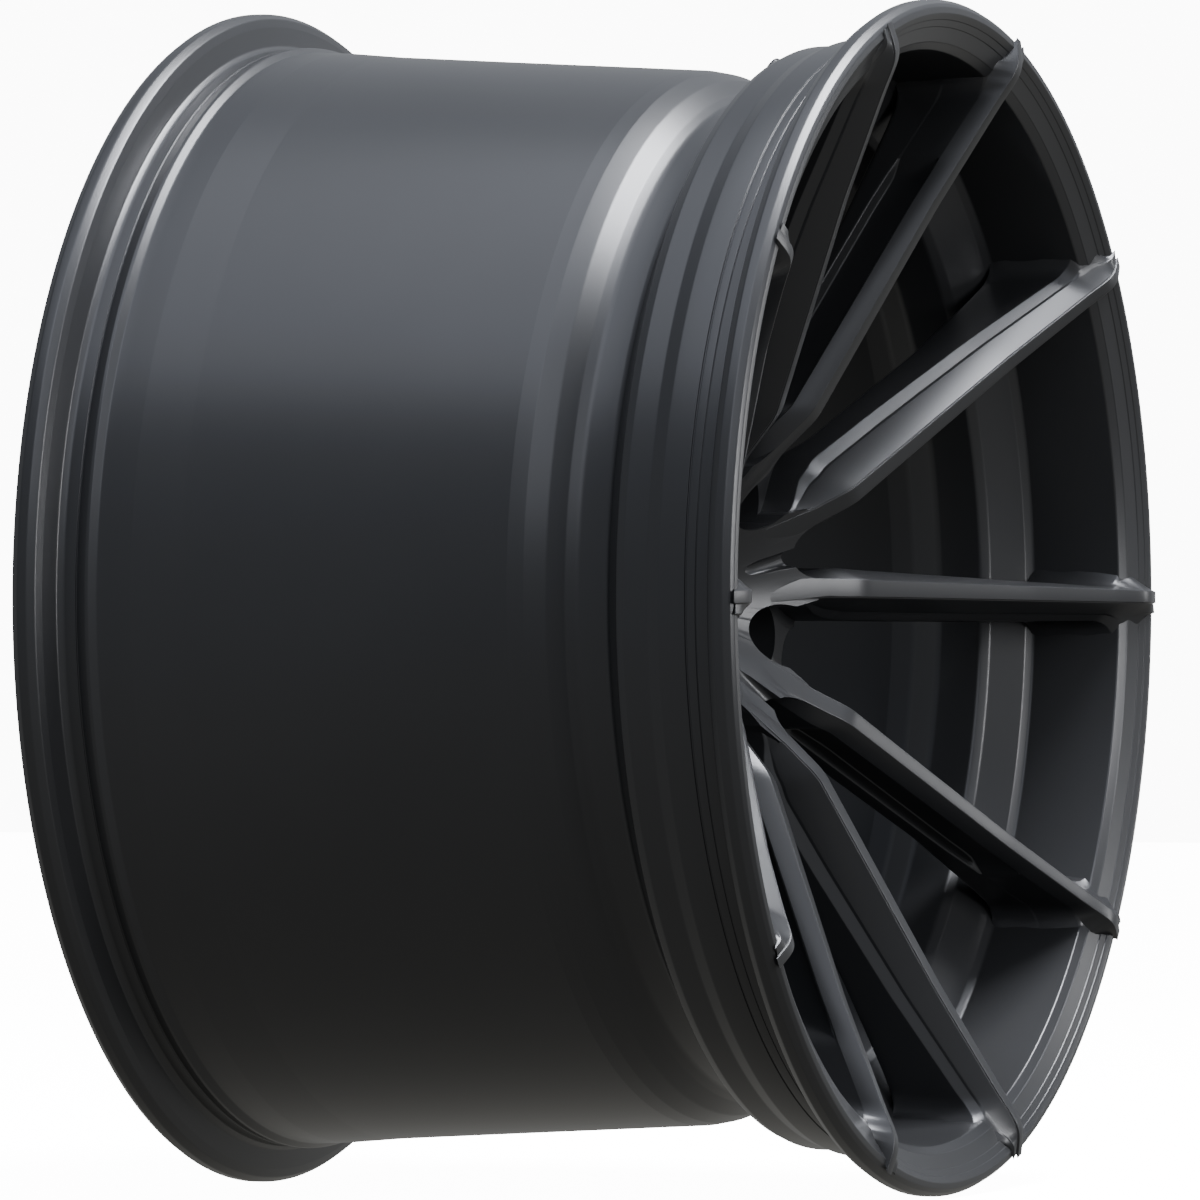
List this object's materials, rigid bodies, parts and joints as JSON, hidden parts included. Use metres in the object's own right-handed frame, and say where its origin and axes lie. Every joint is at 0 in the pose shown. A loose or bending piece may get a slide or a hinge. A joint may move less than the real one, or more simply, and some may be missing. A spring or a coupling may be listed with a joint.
{
  "type": "forged racing wheel rim",
  "caption": "Deep concave forged racing wheel with paired slim spokes, a wide barrel with a drop well, a centre cap and a clamp-in tyre valve.",
  "frame": {"origin": "on the wheel's axis, in the rim's centre plane", "axes": "-Y is outboard, the way the face looks; +Y is inboard; +X and +Z are in the wheel plane, with a spoke along +X"},
  "size_m": [0.5492, 0.3518, 0.5478],
  "materials": {
    "forging_paint": "satin dark gunmetal paint over forged and machined aluminium",
    "insert_steel": "turned, zinc plated",
    "ring_aluminium": "turned",
    "cap_paint": "satin dark gunmetal",
    "plate_satin": "dark anodised, blank",
    "seal_rubber": "matt black",
    "valve_black": "black anodised",
    "valve_steel": "plated",
    "core_brass": "bright turned",
    "cap_plastic": "moulded, knurled"
  },
  "bodies": {
    "wheel": {"barrel": "forging_paint", "hub_sector_1": "forging_paint", "hub_sector_2": "forging_paint", "hub_sector_3": "forging_paint", "hub_sector_4": "forging_paint", "hub_sector_5": "forging_paint", "spoke_01": "forging_paint", "spoke_02": "forging_paint", "spoke_03": "forging_paint", "spoke_04": "forging_paint", "spoke_05": "forging_paint", "spoke_06": "forging_paint", "spoke_07": "forging_paint", "spoke_08": "forging_paint", "spoke_09": "forging_paint", "spoke_10": "forging_paint", "lug_seat_insert_1": "insert_steel", "lug_seat_insert_2": "insert_steel", "lug_seat_insert_3": "insert_steel", "lug_seat_insert_4": "insert_steel", "lug_seat_insert_5": "insert_steel", "hub_centring_ring": "ring_aluminium", "valve_stem": "valve_black", "valve_seal": "seal_rubber", "valve_washer": "valve_steel", "valve_nut": "valve_steel", "valve_core_body": "core_brass", "valve_core_seal": "seal_rubber", "valve_core_spring": "valve_steel"},
    "centre_cap": {"centre_cap": "cap_paint", "centre_cap_plate": "plate_satin", "centre_cap_o_ring": "seal_rubber"},
    "core_pin": {"valve_core_pin": "core_brass"},
    "valve_cap_seal": {"valve_cap_gasket": "seal_rubber"},
    "valve_cap": {"valve_cap": "cap_plastic"}
  },
  "joints": [
    {"name": "centre_cap_pull", "type": "slide", "parent": "wheel", "child": "centre_cap", "axis": [0, -1, 0], "range_m": [0, 0.03]},
    {"name": "core_pin_press", "type": "slide", "parent": "wheel", "child": "core_pin", "axis": [-0.0829, 0.8788, 0.4699], "range_m": [0, 0.001], "stiffness_N_per_m": 1500, "springref_m": -0.001},
    {"name": "valve_cap_lift", "type": "slide", "parent": "wheel", "child": "valve_cap_seal", "axis": [0.0829, -0.8788, -0.4699], "range_m": [0, 0.00953]},
    {"name": "valve_cap_turn", "type": "hinge", "parent": "valve_cap_seal", "child": "valve_cap", "pos_m": [-0.04143, -0.1056, 0.23497], "axis": [0.0829, -0.8788, -0.4699], "range_deg": [0, 4320]}
  ],
  "couplings": [
    {"joint": "valve_cap_turn", "follows": "valve_cap_lift", "rad_per_m": 7913.3}
  ]
}
